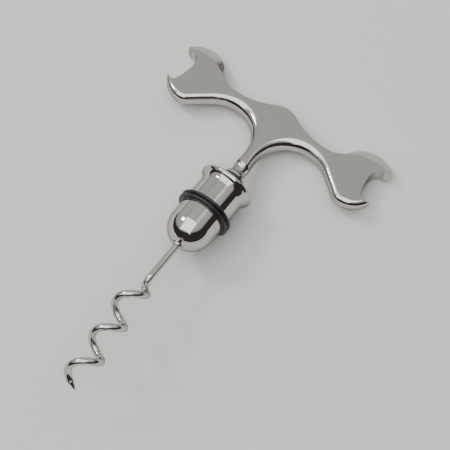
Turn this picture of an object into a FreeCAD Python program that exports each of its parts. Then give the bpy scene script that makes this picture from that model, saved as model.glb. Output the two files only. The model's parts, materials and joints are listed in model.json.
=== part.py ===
"""Direct-pull corkscrew with a bottle stopper and a crown-cap opener at each end of the handle.

The pieces are drawn in the tool's own axes: X runs along the screw axis towards the handle, with
X = 0 at the widest circle of the stopper's flange, Y runs along the handle's wings, and Z is normal
to the handle's flat sides. They are then pitched handle-down about Y into the lying position and
moved so that the footprint's centre is the origin and the lowest point is Z = 0.
"""
import FreeCAD, Part
import math
import os

V = FreeCAD.Vector

# Handle casting (mm)
HALF_THICK_MID = 3.8            # half thickness on the screw axis
CROWN_RADIUS = 840.0            # crowning of the two broad sides along the wings
HUMP_TOP = 39.8                 # top of the hump behind the stem
HUMP_R = 9.5
WAIST_X = 34.5                  # lowest line of the back edge, between hump and lobe
WAIST_Y = (19.0, 21.0)
LOBE_BACK = (34.8, 38.5, 9.9)   # X, Y, radius of the lobe's back edge
LOBE_FRONT = (30.0, 36.5, 10.9)
LOBE_HEEL_R = 4.5               # turn from the lobe's front edge into the finger gap
GAP = (14.7, 17.0, 14.5)        # X, Y, radius of the finger gap
STEM_FLARE_R = 30.0
TOOTH_BACK_Y = 46.9
TOOTH_FRONT_Y = 46.6
EDGE_ROUND = 2.2                # along the lobes and the stem
GAP_ROUND = 3.2                 # at the deepest point of a finger gap
BACK_ROUND = 1.0                # along the back edge
BEVEL = (22.6, 38.6, 18.3)      # X, Y, radius of the line where a lobe's back bevel starts
BEVEL_SWEEP = (-38.0, 60.0)     # its reach, degrees from +X
BEVEL_SLOPE = 0.52
BEVEL_DEPTH = 6.0

# Crown-cap jaws, as X, Y along the wall from the back tooth to the front tooth
JAW_BACK_LIP = (38.75, 44.3)
JAW_WALL = ((38.3, 42.0), (36.4, 40.8), (32.9, 40.45), (29.2, 41.0), (26.0, 41.9), (24.3, 43.3))
JAW_FRONT_LIP = (24.6, 44.7)

# Stem foot and tie stud (mm)
FOOT_END = 4.5
FOOT_R = 4.1
FOOT_LIP = 5.3
FOOT_WAIST = (8.0, 2.9)
FOOT_SHOULDER = (11.2, 4.9)
STUD_R = 2.0                    # M4 tie stud
STUD_TOP = 12.6
STUD_END = -5.6
RUNNING = 0.05                  # radial clearance of the thread and the washer

# Neck washer (mm)
WASHER_R = 4.4
WASHER_X = (3.1, 4.4)
WASHER_ROUND = 0.4

# Stopper (mm)
HUB_TOP = 3.0
HUB_R = 4.4
FLANGE_R = 10.9
BODY_R = 9.0
RIM_UPPER = -12.0               # shoulder above the seal ring
RIM_LOWER = -15.6               # shoulder below the seal ring
NECK_R = 7.3                    # neck that carries the seal ring
SPIGOT_R = 6.0
SPIGOT_TOP = -9.5
CAVITY_TOP = -4.5
CAVITY_R = 4.8
CAVITY_FLOOR = -24.0
NOSE_CENTRE = -21.6
NOSE_FLAT = -30.2

# Seal ring (mm)
SEAL_ROOT_R = 9.7
SEAL_FIN_R = 10.9
SEAL_FINS = (-12.95, -14.65)
SEAL_FIN_HALF = 0.62

# Worm, its ferrule, washer and nut (mm)
WIRE_R = 1.35
WORM_TOP = -20.8
SHANK_END = -45.7
COIL_START = (-46.0, 1.7, -0.3)     # a point on the coil's own axis
COIL_SWING = 5.1                # its lean towards +Y as X rises, degrees
COIL_DIP = 2.1                  # its drop towards the point, degrees
COIL_R = 4.05
COIL_PITCH = 14.83
COIL_PHASE = -2.0               # degrees from +Y at COIL_START
COIL_REACH = (5.2, 47.2)        # along the coil's axis: end of the kink, start of the point
COIL_SPANS = 24
FLARE_FROM = 41.6               # the last turn opens from here on
FLARE = 0.066
NUDGE = 0.001                   # half step that a direction is measured over
POINT_LENGTH = 3.0
POINT_R = 0.25
FERRULE_R = 2.0
FERRULE_END = -31.3
NUT_FLATS = 5.5
NUT_X = (-23.5, -21.1)
LOCK_WASHER_R = 3.6


def arc(centre, radius, start, end):
    """Circular edge in the XY plane from one angle to the other, in degrees."""
    mid = (start + end) / 2.0
    pts = [V(centre[0] + radius * math.cos(math.radians(a)),
             centre[1] + radius * math.sin(math.radians(a)), 0) for a in (start, mid, end)]
    return Part.Arc(*pts).toShape()


def angle(centre, point):
    """Direction from centre to point, in degrees."""
    return math.degrees(math.atan2(point[1] - centre[1], point[0] - centre[0]))


def revolve(points):
    """Solid of revolution about X from an outline of (x, r) pairs."""
    outline = [V(x, r, 0) for x, r in points]
    face = Part.Face(Part.makePolygon(outline + outline[:1]))
    return face.revolve(V(0, 0, 0), V(1, 0, 0), 360)


def revolve_edges(edges):
    """Solid of revolution about X from a closed run of edges."""
    face = Part.Face(Part.Wire(Part.__sortEdges__(edges)))
    return face.revolve(V(0, 0, 0), V(1, 0, 0), 360)


def line(a, b):
    return Part.makeLine(V(a[0], a[1], 0), V(b[0], b[1], 0))


def curve(a, mid, b):
    return Part.Arc(V(*a, 0), V(*mid, 0), V(*b, 0)).toShape()


def mirrored(edges):
    """Edges reflected to the other wing."""
    return [e.mirror(V(0, 0, 0), V(0, 1, 0)) for e in edges]


def waist_radius(centre, radius, waist_y):
    """Radius of the hollow that runs from the waist line into a round of the given centre and radius."""
    rise = WAIST_X - centre[0]
    return ((centre[1] - waist_y) ** 2 + rise ** 2 - radius ** 2) / (2.0 * (radius - rise))


def back_edges():
    """Back edge of one wing, from the hump's top to the back tooth."""
    hump = (HUMP_TOP - HUMP_R, 0.0)
    dip_r = waist_radius(hump, HUMP_R, WAIST_Y[0])
    dip = (WAIST_X + dip_r, WAIST_Y[0])
    meet = angle(hump, dip)
    lobe, lobe_r = LOBE_BACK[:2], LOBE_BACK[2]
    heel_r = waist_radius(lobe, lobe_r, WAIST_Y[1])
    heel = (WAIST_X + heel_r, WAIST_Y[1])
    turn = angle(lobe, heel)
    tooth = math.degrees(math.asin((TOOTH_BACK_Y - lobe[1]) / lobe_r))
    return [arc(hump, HUMP_R, 0.0, meet),
            arc(dip, dip_r, 180.0 + meet, 180.0),
            line((WAIST_X, WAIST_Y[0]), (WAIST_X, WAIST_Y[1])),
            arc(heel, heel_r, 180.0, 180.0 + turn),
            arc(lobe, lobe_r, turn, tooth)]


def front_edges():
    """Front edge of one wing, from the front tooth round the finger gap to the stem's foot."""
    fx, fy, fr = LOBE_FRONT
    gx, gy, gr = GAP
    heel = (fx - fr + LOBE_HEEL_R, fy)
    tooth = -180.0 + math.degrees(math.asin((fy - TOOTH_FRONT_Y) / fr)) + 360.0
    reach = math.hypot(heel[0] - gx, heel[1] - gy)
    normal = angle((gx, gy), heel) - math.degrees(math.acos((gr + LOBE_HEEL_R) / reach))
    away = math.radians(normal)
    on_gap = (gx + gr * math.cos(away), gy + gr * math.sin(away))
    on_heel = (heel[0] - LOBE_HEEL_R * math.cos(away), heel[1] - LOBE_HEEL_R * math.sin(away))
    flare = (gx, gy - gr + STEM_FLARE_R)
    drop = -90.0 - math.degrees(math.asin((gx - FOOT_END) / STEM_FLARE_R))
    return [arc((fx, fy), fr, tooth, 180.0),
            arc(heel, LOBE_HEEL_R, 180.0, 180.0 + normal),
            line(on_heel, on_gap),
            arc((gx, gy), gr, normal, 0.0),
            arc((gx, gy), gr, 0.0, -90.0),
            arc(flare, STEM_FLARE_R, -90.0, drop)]


def bevel(side):
    """Conical cutter that leaves an oblique crescent along the back edge of a lobe, on the +Z side."""
    cx, cy, radius = BEVEL
    low, high = BEVEL_SWEEP
    level = HALF_THICK_MID - cy ** 2 / (2.0 * CROWN_RADIUS)
    profile = [V(radius - 2.0, 0, level + 2.0 * BEVEL_SLOPE),
               V(radius + BEVEL_DEPTH, 0, level - BEVEL_DEPTH * BEVEL_SLOPE),
               V(radius + BEVEL_DEPTH, 0, level + 2.0 * BEVEL_SLOPE)]
    face = Part.Face(Part.makePolygon(profile + profile[:1]))
    cutter = face.revolve(V(0, 0, 0), V(0, 0, 1), high - low)
    cutter.rotate(V(0, 0, 0), V(0, 0, 1), low)
    cutter.translate(V(cx, cy, 0))
    return cutter if side > 0 else cutter.mirror(V(0, 0, 0), V(0, 1, 0))


def jaw(side):
    """Through cutter for one crown-cap jaw."""
    fx, fy, fr = LOBE_FRONT
    lx, ly, lr = LOBE_BACK
    back_tip = (lx + math.sqrt(lr ** 2 - (TOOTH_BACK_Y - ly) ** 2), TOOTH_BACK_Y)
    front_tip = (fx - math.sqrt(fr ** 2 - (TOOTH_FRONT_Y - fy) ** 2), TOOTH_FRONT_Y)
    wall = [V(x, y, 0) for x, y in (JAW_BACK_LIP,) + JAW_WALL + (JAW_FRONT_LIP,)]
    spline = Part.BSplineCurve()
    spline.interpolate(wall)
    rim = [V(*front_tip, 0), V(front_tip[0], 60, 0), V(back_tip[0], 60, 0), V(*back_tip, 0)]
    edges = [spline.toShape(), Part.makeLine(wall[-1], rim[0]), Part.makeLine(rim[0], rim[1]),
             Part.makeLine(rim[1], rim[2]), Part.makeLine(rim[2], rim[3]), Part.makeLine(rim[3], wall[0])]
    cutter = Part.Face(Part.Wire(edges)).extrude(V(0, 0, 20))
    cutter.translate(V(0, 0, -10))
    return cutter if side > 0 else cutter.mirror(V(0, 0, 0), V(0, 1, 0))


def crowned_slab():
    """Slab with both broad sides crowned along the wings."""
    reach = 60.0
    drop = reach ** 2 / (2.0 * CROWN_RADIUS)
    side = HALF_THICK_MID - drop
    top = Part.Arc(V(0, -reach, side), V(0, 0, HALF_THICK_MID), V(0, reach, side)).toShape()
    low = Part.Arc(V(0, -reach, -side), V(0, 0, -HALF_THICK_MID), V(0, reach, -side)).toShape()
    ends = [Part.makeLine(V(0, y, -side), V(0, y, side)) for y in (-reach, reach)]
    return Part.Face(Part.Wire(Part.__sortEdges__([top, low] + ends))).extrude(V(80, 0, 0))


def middle(edge):
    return edge.valueAt((edge.FirstParameter + edge.LastParameter) / 2.0)


def broad_edges(plate, outline_edge):
    """Edges of the two broad sides, on both wings, above and below the middle of an outline edge."""
    at = middle(outline_edge)
    return [edge for edge in plate.Edges
            if abs(middle(edge).z) > 2.0 and all(v.Point.z * middle(edge).z > 1.0 for v in edge.Vertexes)
            and math.hypot(middle(edge).x - at.x, abs(middle(edge).y) - at.y) < 0.3]


def round_front(plate, front):
    """Rounds the plate along both wings' front edges, most at the deepest point of the finger gaps."""
    doc = FreeCAD.newDocument("rounding")
    base = doc.addObject("Part::Feature", "base")
    base.Shape = plate
    fillet = doc.addObject("Part::Fillet", "fillet")
    fillet.Base = base
    deepest = GAP[0] + GAP[2]
    rows = []
    for number, edge in enumerate(plate.Edges, 1):
        if any(edge.isSame(other) for side in front for other in broad_edges(plate, side)):
            ends = [edge.valueAt(edge.FirstParameter), edge.valueAt(edge.LastParameter)]
            rows.append((number, *[GAP_ROUND if abs(end.x - deepest) < 0.01 else EDGE_ROUND for end in ends]))
    fillet.Edges = rows
    doc.recompute()
    return fillet.Shape.copy()


def handle_casting():
    """T handle: crowned plate with two finger gaps, a stem, a bevel on each lobe's back and two jaws."""
    back, front = back_edges(), front_edges()
    tip = line((back[-1].valueAt(back[-1].LastParameter).x, TOOTH_BACK_Y),
               (front[0].valueAt(front[0].FirstParameter).x, TOOTH_FRONT_Y))
    wing = back + [tip] + front
    foot = front[-1].valueAt(front[-1].LastParameter)
    base = line((foot.x, foot.y), (foot.x, -foot.y))
    outline = Part.Face(Part.Wire(Part.__sortEdges__(wing + mirrored(wing) + [base])))
    plate = outline.extrude(V(0, 0, 20))
    plate.translate(V(0, 0, -10))
    plate = plate.common(crowned_slab())
    plate = round_front(plate, front)
    # This round runs on along the smooth chain of edges on either side of the one named.
    plate = plate.makeFillet(BACK_ROUND, broad_edges(plate, back[2]))
    foot_profile = [(FOOT_END - 1.0, 9.0), (FOOT_END - 1.0, FOOT_R), (FOOT_LIP, FOOT_R)]
    waist = curve((FOOT_LIP, FOOT_R), FOOT_WAIST, FOOT_SHOULDER)
    ring = [line(foot_profile[0], foot_profile[1]), line(foot_profile[1], foot_profile[2]), waist,
            line(FOOT_SHOULDER, (FOOT_SHOULDER[0], 9.0)), line((FOOT_SHOULDER[0], 9.0), foot_profile[0])]
    plate = plate.cut(revolve_edges(ring))
    for side in (1, -1):
        cutter = bevel(side)
        plate = plate.cut(cutter).cut(cutter.mirror(V(0, 0, 0), V(0, 0, 1)))
        plate = plate.cut(jaw(side))
    bore = Part.makeCylinder(STUD_R, STUD_TOP - FOOT_END + 5.0, V(FOOT_END - 5.0, 0, 0), V(1, 0, 0))
    return plate.cut(bore)


def tie_stud():
    """Stud that joins the handle's stem to the stopper, chamfered at both ends."""
    lead = 0.4
    return revolve([(STUD_END, 0), (STUD_END, STUD_R - lead), (STUD_END + lead, STUD_R),
                    (STUD_TOP - lead, STUD_R), (STUD_TOP, STUD_R - lead), (STUD_TOP, 0)])


def neck_washer():
    low, high = WASHER_X
    bore = STUD_R + RUNNING
    ring = revolve([(low, bore), (low, WASHER_R), (high, WASHER_R), (high, bore)])
    rims = [e for e in ring.Edges if e.Curve.TypeId == "Part::GeomCircle" and e.Curve.Radius > WASHER_R - 0.1]
    return ring.makeFillet(WASHER_ROUND, rims)


def stopper_upper():
    """Flanged upper body: threaded hub, rounded rim, cove, barrel and the neck under the seal ring."""
    bore = STUD_R + RUNNING
    rim = (0.0, FLANGE_R)
    hub_foot = (1.2, HUB_R + 1.6)
    shoulder = (0.7, 9.6)
    cove_end = (-4.4, BODY_R)
    under = (-1.1, 10.45)
    edges = [line((HUB_TOP, bore), (HUB_TOP, HUB_R)),
             curve((HUB_TOP, HUB_R), (1.75, HUB_R + 0.45), hub_foot),
             line(hub_foot, shoulder),
             line(shoulder, (0.45, 10.6)),
             curve((0.45, 10.6), rim, (-0.65, 10.75)),
             line((-0.65, 10.75), under),
             curve(under, (-2.35, 9.42), cove_end),
             line(cove_end, (RIM_UPPER, BODY_R)),
             line((RIM_UPPER, BODY_R), (RIM_UPPER, NECK_R)),
             line((RIM_UPPER, NECK_R), (RIM_LOWER, NECK_R)),
             line((RIM_LOWER, NECK_R), (RIM_LOWER, SPIGOT_R)),
             line((RIM_LOWER, SPIGOT_R), (CAVITY_TOP, SPIGOT_R)),
             line((CAVITY_TOP, SPIGOT_R), (CAVITY_TOP, bore)),
             line((CAVITY_TOP, bore), (HUB_TOP, bore))]
    return revolve_edges(edges)


def seal_ring():
    """Rubber ring with two round-topped fins."""
    upper, lower = SEAL_FINS
    crest = SEAL_FIN_R - SEAL_FIN_HALF
    edges = [line((RIM_UPPER, NECK_R), (RIM_UPPER, SEAL_ROOT_R))]
    at = (RIM_UPPER, SEAL_ROOT_R)
    for fin in (upper, lower):
        start, end = (fin + SEAL_FIN_HALF, crest), (fin - SEAL_FIN_HALF, crest)
        foot, rise = (fin + SEAL_FIN_HALF, SEAL_ROOT_R), (fin - SEAL_FIN_HALF, SEAL_ROOT_R)
        edges += [line(at, foot), line(foot, start), curve(start, (fin, SEAL_FIN_R), end), line(end, rise)]
        at = rise
    edges += [line(at, (RIM_LOWER, SEAL_ROOT_R)),
              line((RIM_LOWER, SEAL_ROOT_R), (RIM_LOWER, NECK_R)),
              line((RIM_LOWER, NECK_R), (RIM_UPPER, NECK_R))]
    return revolve_edges(edges)


def stopper_lower():
    """Bullet-nosed lower body with a hollow spigot that screws into the upper body."""
    nose_flat_r = math.sqrt(BODY_R ** 2 - (NOSE_CENTRE - NOSE_FLAT) ** 2)
    slant = math.radians(50.0)
    on_nose = (NOSE_CENTRE - BODY_R * math.sin(slant), BODY_R * math.cos(slant))
    lead = 0.5
    edges = [line((SPIGOT_TOP, CAVITY_R), (SPIGOT_TOP, SPIGOT_R - lead)),
             line((SPIGOT_TOP, SPIGOT_R - lead), (SPIGOT_TOP - lead, SPIGOT_R)),
             line((SPIGOT_TOP - lead, SPIGOT_R), (RIM_LOWER, SPIGOT_R)),
             line((RIM_LOWER, SPIGOT_R), (RIM_LOWER, BODY_R)),
             line((RIM_LOWER, BODY_R), (NOSE_CENTRE, BODY_R)),
             curve((NOSE_CENTRE, BODY_R), on_nose, (NOSE_FLAT, nose_flat_r)),
             line((NOSE_FLAT, nose_flat_r), (NOSE_FLAT, WIRE_R)),
             line((NOSE_FLAT, WIRE_R), (CAVITY_FLOOR, WIRE_R)),
             line((CAVITY_FLOOR, WIRE_R), (CAVITY_FLOOR, CAVITY_R)),
             line((CAVITY_FLOOR, CAVITY_R), (SPIGOT_TOP, CAVITY_R))]
    return revolve_edges(edges)


def worm_ferrule():
    """Domed collar where the worm leaves the nose."""
    base, crown = (NOSE_FLAT, FERRULE_R), (FERRULE_END, WIRE_R)
    edges = [line((NOSE_FLAT, WIRE_R), base),
             curve(base, (NOSE_FLAT - 0.85, FERRULE_R - 0.12), crown),
             line(crown, (NOSE_FLAT, WIRE_R))]
    return revolve_edges(edges)


def lock_washer():
    low, high = CAVITY_FLOOR, NUT_X[0]
    return revolve([(low, WIRE_R), (low, LOCK_WASHER_R), (high, LOCK_WASHER_R), (high, WIRE_R)])


def worm_nut():
    """Hexagon nut on the worm's shank, inside the nose."""
    corner = NUT_FLATS / math.sqrt(3.0)
    ring = [V(NUT_X[0], corner * math.cos(math.radians(60 * k)), corner * math.sin(math.radians(60 * k)))
            for k in range(7)]
    height = NUT_X[1] - NUT_X[0]
    body = Part.Face(Part.makePolygon(ring)).extrude(V(height, 0, 0))
    return body.cut(Part.makeCylinder(WIRE_R, height + 2, V(NUT_X[0] - 1, 0, 0), V(1, 0, 0)))


def coil_point(along):
    """Centre line of the coil: a right-hand helix about a slightly tilted axis."""
    turn = math.radians(COIL_PHASE - 360.0 * along / COIL_PITCH)
    radius = COIL_R + FLARE * max(0.0, along - FLARE_FROM) ** 1.5
    tilt = FreeCAD.Rotation(V(0, 0, 1), COIL_SWING).multiply(FreeCAD.Rotation(V(0, 1, 0), -COIL_DIP))
    return tilt.multVec(V(-along, radius * math.cos(turn), radius * math.sin(turn))) + V(*COIL_START)


def coil_direction(along):
    ahead = coil_point(along + NUDGE) - coil_point(along - NUDGE)
    return ahead.normalize()


def arc_round(start, corner, end):
    """Arc tangent at both ends to the lines that meet at the corner, which is equally far from both."""
    half = (start + end) * 0.5
    cosine = (half - start).Length / (corner - start).Length
    return Part.Arc(start, half + (corner - half) * (cosine / (1.0 + cosine)), end).toShape()


def tangent_arcs(points, directions):
    """Smooth run of arcs, two to a span, that passes each point in its own direction."""
    edges = []
    for start, leave, end, arrive in zip(points, directions, points[1:], directions[1:]):
        chord = end - start
        slack = 2.0 * (1.0 - leave.dot(arrive))
        reach = chord.dot(leave + arrive)
        arm = (math.sqrt(reach ** 2 + slack * chord.dot(chord)) - reach) / slack
        corners = (start + leave * arm, end - arrive * arm)
        join = (corners[0] + corners[1]) * 0.5
        edges += [arc_round(start, corners[0], join), arc_round(join, corners[1], end)]
    return edges


def worm():
    """Bright wire: straight shank, kink, right-hand coil of about three turns and a ground point."""
    first, last = COIL_REACH
    stations = [first + (last - first) * k / COIL_SPANS for k in range(COIL_SPANS + 1)]
    points = [V(SHANK_END, 0, 0)] + [coil_point(u) for u in stations]
    directions = [V(-1, 0, 0)] + [coil_direction(u) for u in stations]
    shank = Part.makeLine(V(WORM_TOP, 0, 0), points[0])
    section = Part.Wire([Part.makeCircle(WIRE_R, V(WORM_TOP, 0, 0), V(-1, 0, 0))])
    wire = Part.Wire([shank] + tangent_arcs(points, directions)).makePipeShell([section], True, False)
    return wire.fuse(Part.makeCone(WIRE_R, POINT_R, POINT_LENGTH, points[-1], directions[-1]))


PIECES = {
    "handle": handle_casting,
    "tie_stud": tie_stud,
    "neck_washer": neck_washer,
    "stopper_upper": stopper_upper,
    "seal_ring": seal_ring,
    "stopper_lower": stopper_lower,
    "worm_ferrule": worm_ferrule,
    "lock_washer": lock_washer,
    "worm_nut": worm_nut,
    "worm": worm,
}


def main():
    os.makedirs("parts", exist_ok=True)
    pitch = math.degrees(math.atan((FLANGE_R - HALF_THICK_MID) / (HUMP_TOP - BACK_ROUND)))
    shapes = {name: build() for name, build in PIECES.items()}
    for shape in shapes.values():
        shape.rotate(V(0, 0, 0), V(0, 1, 0), pitch)
    box = Part.makeCompound(list(shapes.values())).optimalBoundingBox(False)
    shift = V(-(box.XMin + box.XMax) / 2.0, 0, -box.ZMin)
    for name, shape in shapes.items():
        shape.translate(shift)
        shape.exportStep("parts/%s.step" % name)
        print("%-14s valid %s, solids %d, %8.1f mm3" % (name, shape.isValid(), len(shape.Solids), shape.Volume))
    print("pitch %.3f deg, tool origin at %.3f, %.3f, %.3f" % (pitch, shift.x, shift.y, shift.z))


main()
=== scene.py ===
"""Corkscrew with a bottle stopper and a crown-cap opener at each end of its handle, on a pale floor."""
import bpy
import json
import math
from mathutils import Matrix, Vector

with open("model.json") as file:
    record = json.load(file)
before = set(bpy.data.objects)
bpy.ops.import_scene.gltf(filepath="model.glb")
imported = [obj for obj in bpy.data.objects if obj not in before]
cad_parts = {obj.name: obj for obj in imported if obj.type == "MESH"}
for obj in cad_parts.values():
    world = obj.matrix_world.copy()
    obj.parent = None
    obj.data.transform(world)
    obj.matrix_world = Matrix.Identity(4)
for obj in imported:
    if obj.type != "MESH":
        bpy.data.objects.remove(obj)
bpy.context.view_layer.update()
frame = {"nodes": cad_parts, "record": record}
nodes = frame["nodes"]
joints = {joint["name"]: joint for joint in frame["record"]["behaviour"]["joints"]}

# The tool's own axes: X along the screw axis towards the handle, Y along the wings.
TOOL_X = -Vector(joints["stopper_turn"]["axis"]).normalized()
TOOL_Y = Vector((0.0, 1.0, 0.0))
TOOL_Z = TOOL_X.cross(TOOL_Y)
TOOL = Matrix((TOOL_X, TOOL_Y, TOOL_Z)).transposed()
PITCH = math.atan2(-TOOL_X.z, TOOL_X.x)

# ---------------------------------------------------------------- view
CAMERA_AT = (-0.11447, -0.13685, 0.53001)
CAMERA_TARGET = (0.0124, -0.00851, 0.011)
CAMERA_ROLL = -10.04            # degrees
CAMERA_NEAR = 0.01              # metres
FOCAL_MM = 120.0
SENSOR_MM = 36.0

# ---------------------------------------------------------------- light
KEY_AT = (0.05, 1.10, 1.20)     # metres
KEY_SIZE = (0.35, 0.35)
KEY_WATTS = 7.0
KEY_COLOR = (1.0, 0.985, 0.96)

# Each part of the surround is a list of stops: the cosine to an axis, and the tone there.
CANOPY_CENTRE = TOOL @ Vector((0.15, 0.26, 0.95))
CANOPY_STOPS = ((-1.0, (0.05, 0.046, 0.043)),
                (0.33, (0.05, 0.038, 0.034)),
                (0.48, (0.56, 0.545, 0.515)),
                (0.70, (0.62, 0.61, 0.58)),
                (0.90, (0.56, 0.555, 0.53)),
                (0.98, (0.66, 0.65, 0.625)))
PANEL_ALONG = ((-0.82, 0.0), (-0.74, 1.0), (0.10, 1.0), (0.20, 0.0))
PANEL_ACROSS = ((-0.42, 0.0), (-0.34, 1.0), (0.46, 1.0), (0.56, 0.0))
PANEL_ABOVE = ((0.35, 0.0), (0.50, 1.6), (1.0, 1.6))
STRIP_NORMAL = TOOL @ Vector((0.0, 0.966, 0.259))
STRIP_STOPS = ((-0.20, 0.0), (-0.10, 1.0), (0.04, 1.0), (0.12, 0.0))
STRIP_REACH = ((0.55, 0.0), (0.8, 0.45), (1.0, 0.45))

# ---------------------------------------------------------------- finishes
FLOOR_REACH = 4.0               # metres each way
FLOOR_COLOR = (0.80, 0.795, 0.785, 1.0)
FLOOR_ROUGHNESS = 0.7
EDGE_TINT = (0.42, 0.41, 0.40, 1.0)     # a polished metal's reflection just short of grazing
NOISE_RANGE = (0.3, 0.7)        # the stretch of a noise texture's values that a finish uses
FULL_RANGE = (0.0, 1.0)
SCRATCH_STOPS = ((0.44, 0.0), (0.5, 1.0), (0.56, 0.0))
SCRATCH_ROUGHNESS = 0.05
METAL_WEAR = 1.08               # worn edges against the plate's lighter tone
RUBBER_WEAR = 2.6               # rubbed edges against the rubber's
METAL_EDGE = (0.53, 0.60)       # pointiness where wear on an edge starts, and where it is full
RUBBER_EDGE = (0.52, 0.60)
RUBBER_SPECULAR = 0.55
ALONG_TOOL = (0.06, 1.0, 1.0)   # stretches of a grain that runs along the tool
FINE_ALONG_TOOL = (0.08, 1.0, 1.0)
ROUND_AXIS = (1.0, 0.01, 0.01)  # and of one that runs round the screw axis
TOOL_MARKS = (1.0, 0.05, 0.05)


def aim(at, target, roll=0.0):
    """Matrix of something at a place that looks at the target, rolled about its view axis."""
    back = (Vector(at) - Vector(target)).normalized()
    turn = back.to_track_quat("Z", "Y").to_matrix().to_4x4()
    return Matrix.Translation(at) @ turn @ Matrix.Rotation(math.radians(roll), 4, "Z")


def make_camera():
    data = bpy.data.cameras.new("camera")
    data.lens = FOCAL_MM
    data.sensor_width = SENSOR_MM
    data.clip_start = CAMERA_NEAR
    camera = bpy.data.objects.new("camera", data)
    camera.matrix_world = aim(CAMERA_AT, CAMERA_TARGET, CAMERA_ROLL)
    bpy.context.scene.collection.objects.link(camera)
    bpy.context.scene.camera = camera


def make_key():
    """Square softbox, high up and well beyond the left wing."""
    data = bpy.data.lights.new("key", "AREA")
    data.shape = "RECTANGLE"
    data.size, data.size_y = KEY_SIZE
    data.energy = KEY_WATTS
    data.color = KEY_COLOR
    lamp = bpy.data.objects.new("key", data)
    lamp.matrix_world = aim(KEY_AT, (0.0, 0.0, 0.0))
    bpy.context.scene.collection.objects.link(lamp)


def ramp(tree, stops, interpolation="LINEAR"):
    """Colour ramp node from (position, grey or colour) stops."""
    node = tree.nodes.new("ShaderNodeValToRGB")
    node.color_ramp.interpolation = interpolation
    elements = node.color_ramp.elements
    while len(elements) < len(stops):
        elements.new(0.5)
    for element, (position, value) in zip(elements, stops):
        color = value if isinstance(value, tuple) else (value, value, value)
        element.position = position
        element.color = (*color, 1.0)
    return node


def mixed(tree, how, first, second):
    """Two colours put together in full by a blend mode."""
    node = tree.nodes.new("ShaderNodeMix")
    node.data_type = "RGBA"
    node.blend_type = how
    node.inputs["Factor"].default_value = 1.0
    tree.links.new(first, node.inputs["A"])
    tree.links.new(second, node.inputs["B"])
    return node.outputs["Result"]


def across(tree, where, axis, stops):
    """Tones of the surround over the cosine to an axis."""
    dot = tree.nodes.new("ShaderNodeVectorMath")
    dot.operation = "DOT_PRODUCT"
    dot.inputs[1].default_value = axis.normalized()
    lift = tree.nodes.new("ShaderNodeMapRange")
    lift.inputs["From Min"].default_value = -1.0
    lift.inputs["From Max"].default_value = 1.0
    tones = ramp(tree, [(0.5 + 0.5 * cosine, value) for cosine, value in stops], "EASE")
    tree.links.new(where, dot.inputs[0])
    tree.links.new(dot.outputs["Value"], lift.inputs["Value"])
    tree.links.new(lift.outputs["Result"], tones.inputs["Fac"])
    return tones.outputs["Color"]


def make_world():
    """Soft studio surround: a pale canopy with a bright panel and a narrow strip, above dim warm walls."""
    world = bpy.data.worlds.new("studio")
    bpy.context.scene.world = world
    world.use_nodes = True
    tree = world.node_tree
    where = tree.nodes.new("ShaderNodeTexCoord").outputs["Generated"]
    canopy = across(tree, where, CANOPY_CENTRE, CANOPY_STOPS)
    panel = mixed(tree, "MULTIPLY", across(tree, where, TOOL_X, PANEL_ALONG),
                  mixed(tree, "MULTIPLY", across(tree, where, TOOL_Y, PANEL_ACROSS),
                        across(tree, where, TOOL_Z, PANEL_ABOVE)))
    strip = mixed(tree, "MULTIPLY", across(tree, where, STRIP_NORMAL, STRIP_STOPS),
                  across(tree, where, CANOPY_CENTRE, STRIP_REACH))
    total = mixed(tree, "ADD", mixed(tree, "ADD", canopy, panel), strip)
    tree.links.new(total, tree.nodes["Background"].inputs["Color"])


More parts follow.
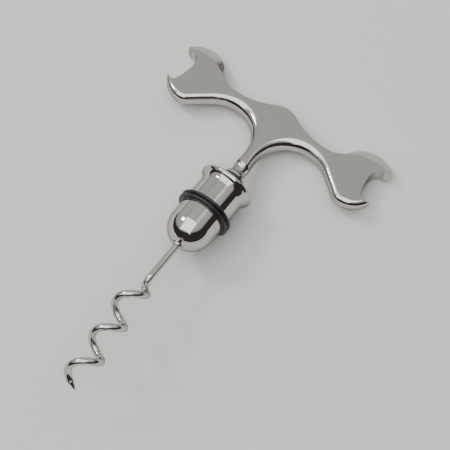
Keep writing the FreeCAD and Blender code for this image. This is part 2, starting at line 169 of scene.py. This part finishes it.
class Shade:
    """Principled material built from procedural layers in object space."""

    def __init__(self, name, metallic):
        self.material = bpy.data.materials.new(name)
        self.material.use_nodes = True
        self.tree = self.material.node_tree
        self.shader = self.tree.nodes["Principled BSDF"]
        self.shader.inputs["Metallic"].default_value = metallic
        if metallic:
            self.shader.inputs["Specular Tint"].default_value = EDGE_TINT
        self.where = self.tree.nodes.new("ShaderNodeTexCoord").outputs["Object"]
        self.relief = None

    def link(self, source, target):
        self.tree.links.new(source, target)

    def noise(self, scale, detail=3.0, roughness=0.55, stretch=None, distortion=0.0):
        node = self.tree.nodes.new("ShaderNodeTexNoise")
        node.inputs["Scale"].default_value = scale
        node.inputs["Detail"].default_value = detail
        node.inputs["Roughness"].default_value = roughness
        node.inputs["Distortion"].default_value = distortion
        self.link(self.stretched(stretch), node.inputs["Vector"])
        return node.outputs["Fac"]

    def stretched(self, stretch):
        """Object coordinates in the tool's own axes, scaled along each."""
        if stretch is None:
            return self.where
        turn = self.tree.nodes.new("ShaderNodeMapping")
        turn.inputs["Rotation"].default_value = (0.0, -PITCH, 0.0)
        scale = self.tree.nodes.new("ShaderNodeMapping")
        scale.inputs["Scale"].default_value = stretch
        self.link(self.where, turn.inputs["Vector"])
        self.link(turn.outputs["Vector"], scale.inputs["Vector"])
        return scale.outputs["Vector"]

    def scratches(self, scale, stretch):
        """Thin lines that run along the direction with the smallest stretch."""
        lines = self.noise(scale, detail=2.0, roughness=0.6, stretch=stretch)
        thin = ramp(self.tree, SCRATCH_STOPS)
        self.link(lines, thin.inputs["Fac"])
        return thin.outputs["Color"]

    def spread(self, value, low, high, limits=NOISE_RANGE):
        """The value's range between the limits, as low to high."""
        node = self.tree.nodes.new("ShaderNodeMapRange")
        node.inputs["From Min"].default_value = limits[0]
        node.inputs["From Max"].default_value = limits[1]
        node.inputs["To Min"].default_value = low
        node.inputs["To Max"].default_value = high
        self.link(value, node.inputs["Value"])
        return node.outputs["Result"]

    def plus(self, first, second):
        node = self.tree.nodes.new("ShaderNodeMath")
        node.operation = "ADD"
        self.link(first, node.inputs[0])
        self.link(second, node.inputs[1])
        return node.outputs[0]

    def edges(self, limits):
        """1 on exposed edges, 0 elsewhere."""
        geometry = self.tree.nodes.new("ShaderNodeNewGeometry")
        return self.spread(geometry.outputs["Pointiness"], 0.0, 1.0, limits)

    def mottle(self, clouds, dark, light):
        """Colour that drifts from the dark tone to the light one with the clouds."""
        node = ramp(self.tree, tuple(zip(NOISE_RANGE, (dark, light))))
        self.link(clouds, node.inputs["Fac"])
        return node.outputs["Color"]

    def paint(self, base, worn, limits):
        """Base colour, with a worn colour on the exposed edges."""
        node = self.tree.nodes.new("ShaderNodeMix")
        node.data_type = "RGBA"
        self.link(self.edges(limits), node.inputs["Factor"])
        self.link(base, node.inputs["A"])
        node.inputs["B"].default_value = (*worn, 1.0)
        self.link(node.outputs["Result"], self.shader.inputs["Base Color"])

    def roughen(self, value):
        self.link(value, self.shader.inputs["Roughness"])

    def bump(self, height, strength, distance):
        """Adds one layer of relief on top of those before it."""
        node = self.tree.nodes.new("ShaderNodeBump")
        node.inputs["Strength"].default_value = strength
        node.inputs["Distance"].default_value = distance
        self.link(height, node.inputs["Height"])
        if self.relief:
            self.link(self.relief, node.inputs["Normal"])
        self.relief = node.outputs["Normal"]
        self.link(self.relief, self.shader.inputs["Normal"])


def plated(name, cloud_scale, tint, shadow):
    """Chrome plate with a faintly clouded tint and brighter worn edges."""
    shade = Shade(name, 1.0)
    clouds = shade.noise(cloud_scale, detail=4.0, roughness=0.6)
    worn = tuple(min(1.0, c * METAL_WEAR) for c in tint)
    shade.paint(shade.mottle(clouds, shadow, tint), worn, METAL_EDGE)
    return shade


def chrome(name, tint, shadow, polish, ripple):
    """Polished chrome on a casting or a wire: faint ripple, buffing lines and smears."""
    shade = plated(name, 90.0, tint, shadow)
    smears = shade.noise(160.0, detail=5.0, roughness=0.65, distortion=0.6)
    lines = shade.spread(shade.scratches(700.0, ALONG_TOOL), 0.0, SCRATCH_ROUGHNESS, FULL_RANGE)
    shade.roughen(shade.plus(shade.spread(smears, *polish), lines))
    waves = shade.noise(120.0, detail=2.0, roughness=0.5)
    shade.bump(waves, strength=ripple, distance=0.0004)
    buffing = shade.noise(2600.0, detail=2.0, roughness=0.6, stretch=FINE_ALONG_TOOL)
    shade.bump(buffing, strength=0.04, distance=0.00004)
    return shade.material


def turned(name, tint, shadow, polish):
    """Chrome on a turned body: smears over very fine rings left by the lathe."""
    shade = plated(name, 110.0, tint, shadow)
    smears = shade.noise(220.0, detail=5.0, roughness=0.65, distortion=0.8)
    shade.roughen(shade.spread(smears, *polish))
    rings = shade.noise(1500.0, detail=2.0, roughness=0.6, stretch=ROUND_AXIS)
    shade.bump(rings, strength=0.05, distance=0.00003)
    waves = shade.noise(150.0, detail=2.0, roughness=0.5)
    shade.bump(waves, strength=0.08, distance=0.0003)
    return shade.material


def rubber(name, dark, light, polish):
    """Moulded black rubber: mottled, satin, finely grained, paler where it is rubbed."""
    shade = Shade(name, 0.0)
    clouds = shade.noise(420.0, detail=4.0, roughness=0.6)
    rubbed = tuple(c * RUBBER_WEAR for c in light)
    shade.paint(shade.mottle(clouds, dark, light), rubbed, RUBBER_EDGE)
    shade.roughen(shade.spread(shade.noise(600.0), *polish))
    shade.shader.inputs["Specular IOR Level"].default_value = RUBBER_SPECULAR
    grain = shade.noise(5200.0, detail=2.0, roughness=0.6)
    shade.bump(grain, strength=0.22, distance=0.00006)
    waves = shade.noise(700.0, detail=2.0, roughness=0.5)
    shade.bump(waves, strength=0.12, distance=0.00025)
    return shade.material


def steel(name, dark, light, polish):
    """Plain zinc-plated steel of the fasteners, with tool marks."""
    shade = Shade(name, 1.0)
    clouds = shade.noise(300.0, detail=4.0)
    shade.link(shade.mottle(clouds, dark, light), shade.shader.inputs["Base Color"])
    shade.roughen(shade.spread(shade.noise(900.0), *polish))
    marks = shade.noise(2400.0, detail=2.0, roughness=0.6, stretch=TOOL_MARKS)
    shade.bump(marks, strength=0.15, distance=0.00004)
    return shade.material


def make_floor():
    corners = [(x * FLOOR_REACH, y * FLOOR_REACH, 0.0) for x, y in ((-1, -1), (1, -1), (1, 1), (-1, 1))]
    mesh = bpy.data.meshes.new("floor")
    mesh.from_pydata(corners, [], [(0, 1, 2, 3)])
    floor = bpy.data.objects.new("floor", mesh)
    bpy.context.scene.collection.objects.link(floor)
    shade = Shade("floor", 0.0)
    shade.shader.inputs["Base Color"].default_value = FLOOR_COLOR
    shade.shader.inputs["Roughness"].default_value = FLOOR_ROUGHNESS
    floor.data.materials.append(shade.material)


# Each finish, and the CAD nodes that carry it.
FINISHES = (
    (chrome("handle_chrome", (0.60, 0.592, 0.575), (0.565, 0.557, 0.54), (0.05, 0.11), 0.05),
     ("handle",)),
    (turned("stopper_chrome", (0.63, 0.625, 0.61), (0.57, 0.565, 0.55), (0.03, 0.08)),
     ("stopper_upper", "stopper_lower", "worm_ferrule")),
    (chrome("worm_chrome", (0.64, 0.64, 0.632), (0.56, 0.56, 0.552), (0.07, 0.16), 0.10),
     ("worm",)),
    (rubber("seal_rubber", (0.010, 0.010, 0.011), (0.020, 0.020, 0.021), (0.34, 0.52)),
     ("seal_ring",)),
    (rubber("washer_black", (0.012, 0.012, 0.013), (0.026, 0.026, 0.027), (0.45, 0.62)),
     ("neck_washer",)),
    (steel("stud_steel", (0.42, 0.42, 0.43), (0.56, 0.56, 0.57), (0.22, 0.42)),
     ("tie_stud", "lock_washer", "worm_nut")),
)
for material, names in FINISHES:
    for name in names:
        for place in nodes[name].material_slots:
            place.material = material

make_camera()
make_world()
make_floor()
make_key()
